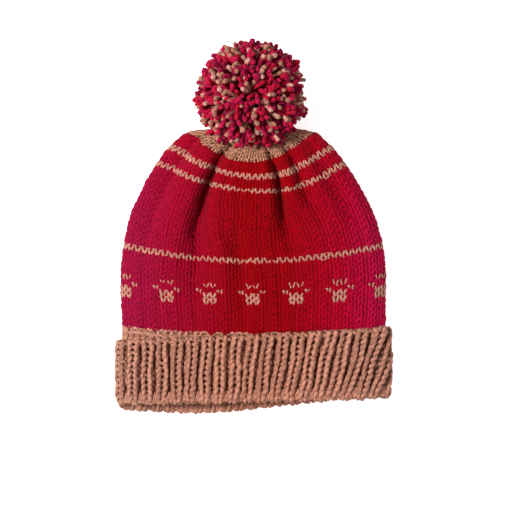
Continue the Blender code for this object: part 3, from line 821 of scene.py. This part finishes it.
def wool(name, stops, plies=2.0, twist=0.22, depth=0.4, mottle=0.22, groove_shade=0.30, sheen=0.03):
    """Woollen yarn: a colour that changes across the hat, painted side light in the red, twisted plies with
    painted shade in their grooves, loose fibres and a soft sheen.
    """
    n = Nodes(name)
    spot = n.add("ShaderNodeTexCoord").outputs["Object"]
    uv = n.add("ShaderNodeUVMap", uv_map="yarn").outputs[0]
    x = n.add("ShaderNodeSeparateXYZ", {0: spot}).outputs[0]
    colour = n.ramp(n.math("MULTIPLY_ADD", x, 1 / COLOUR_WIDTH, 0.5), stops)
    blotch = n.add("ShaderNodeTexNoise", {"Vector": spot, **BLOTCHES}).outputs[0]
    fibre = n.add("ShaderNodeTexNoise", {"Vector": spot, **FIBRES}).outputs[0]
    parts = n.add("ShaderNodeSeparateXYZ", {0: uv})
    turn = n.math("MULTIPLY_ADD", parts.outputs[0], twist, n.math("MULTIPLY", parts.outputs[1], plies))
    ply = n.math("SINE", n.math("MULTIPLY", turn, 2 * math.pi))
    ply = n.math("MULTIPLY_ADD", ply, 0.5, 0.5)
    # The grooves between the plies are darkened in the base colour: painted shade
    groove = n.math("POWER", ply, GROOVE_POWER)
    shade = n.math("MULTIPLY_ADD", groove, groove_shade, GROOVE_LIGHT - groove_shade)
    light = n.math("MULTIPLY", shade, n.math("MULTIPLY_ADD", blotch, mottle * 2, 1 - mottle))
    light = n.math("MULTIPLY", light, n.math("MULTIPLY_ADD", fibre, FIBRE_SHADE, 1 - FIBRE_SHADE / 2))
    grey = n.add("ShaderNodeCombineXYZ", {0: light, 1: light, 2: light}).outputs[0]
    fibre_height = n.math("MULTIPLY", fibre, FIBRE_HEIGHT)
    height = n.math("MULTIPLY_ADD", groove, GROOVE_HEIGHT, fibre_height)
    bump = n.add("ShaderNodeBump", {"Strength": depth, "Distance": YARN_BUMP, "Height": height})
    n.set_inputs(n.shader, {
        "Base Color": n.multiply_colours(colour, grey),
        "Normal": bump.outputs[0],
        "Roughness": n.math("MULTIPLY_ADD", fibre, FIBRE_ROUGHNESS, ROUGHNESS),
        "Specular IOR Level": SPECULAR,
        "Sheen Weight": sheen,
        "Sheen Roughness": SHEEN_ROUGHNESS,
        "Sheen Tint": SHEEN_TINT,
    })
    return n.material


def strand_wools(colours):
    """Frayed yarn of one colour each, by name."""
    return [wool(name, ((0.0, colour), (1.0, colour)), **FRAYED) for name, colour in colours.items()]


def add_light(name, place, size, power, colour):
    """A round lamp that looks at the origin."""
    light = bpy.data.lights.new(name, "AREA")
    light.shape = "DISK"
    light.size = size
    light.energy = power
    light.color = colour
    lamp = bpy.data.objects.new(name, light)
    bpy.context.scene.collection.objects.link(lamp)
    lamp.location = place
    lamp.rotation_mode = "QUATERNION"
    lamp.rotation_quaternion = (-Vector(place)).to_track_quat("-Z", "Y")


def add_floor():
    """A white floor that glows a little, so that it renders white beside the hat."""
    bpy.ops.mesh.primitive_plane_add(size=FLOOR_SIZE)
    floor = bpy.context.object
    floor.name = "floor"
    pale = Nodes("pale_floor")
    noise = pale.add("ShaderNodeTexNoise", {"Scale": FLOOR_NOISE}).outputs[0]
    pale.set_inputs(pale.shader, {
        "Base Color": pale.ramp(noise, FLOOR_GREYS),
        "Roughness": FLOOR_ROUGHNESS,
        "Emission Color": WHITE,
        "Emission Strength": FLOOR_GLOW,
    })
    floor.data.materials.append(pale.material)


def light_world():
    world = bpy.context.scene.world or bpy.data.worlds.new("studio")
    bpy.context.scene.world = world
    world.use_nodes = True
    background = world.node_tree.nodes["Background"]
    background.inputs[0].default_value = WHITE
    background.inputs[1].default_value = WORLD_STRENGTH


def add_camera():
    """A camera that looks straight down."""
    camera = bpy.data.cameras.new("camera")
    camera.lens = CAMERA_LENS
    camera.sensor_width = SENSOR_WIDTH
    camera.clip_start, camera.clip_end = CLIP
    eye = bpy.data.objects.new("camera", camera)
    bpy.context.scene.collection.objects.link(eye)
    eye.location = CAMERA_PLACE
    bpy.context.scene.camera = eye


def main():
    # The red's lighter, pinker sides are painted light
    red = wool("crown_red_wool", RED, mottle=0.3)
    tan = wool("crown_tan_wool", TAN, twist=0.45, mottle=0.3, groove_shade=0.45)
    top = wool("top_tan_wool", TOP_TAN, twist=0.3, mottle=0.4, groove_shade=0.55)
    cuff = wool("cuff_tan_wool", CUFF_TAN, twist=0.28, depth=0.7, mottle=0.3, groove_shade=0.5)
    # The linings' colours are darker than the yarn: painted shade
    red_painted_shade = wool("red_lining_painted_shade", RED_LINING_PAINTED_SHADE, sheen=0.0)
    tan_painted_shade = wool("tan_lining_painted_shade", TAN_LINING_PAINTED_SHADE, sheen=0.0)
    grid, normals = knit_crown([red, tan, top])
    line_crown(grid, normals, [red_painted_shade, tan_painted_shade])
    grid, normals = cuff_grid()
    knit_cuff(grid, normals, cuff)
    cast_on_edge(grid, normals, cuff)
    line_cuff(grid, normals, [tan_painted_shade, cuff])
    strand_reds = strand_wools(STRAND_REDS)
    make_pompom(strand_reds, strand_wools(STRAND_TANS))
    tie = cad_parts["pompom_tie"]
    tie.data.materials.clear()
    tie.data.materials.append(strand_reds[1])
    add_floor()
    light_world()
    for name, settings in LIGHTS.items():
        add_light(name, **settings)
    add_camera()
    bpy.context.scene.view_settings.view_transform = "Standard"


main()
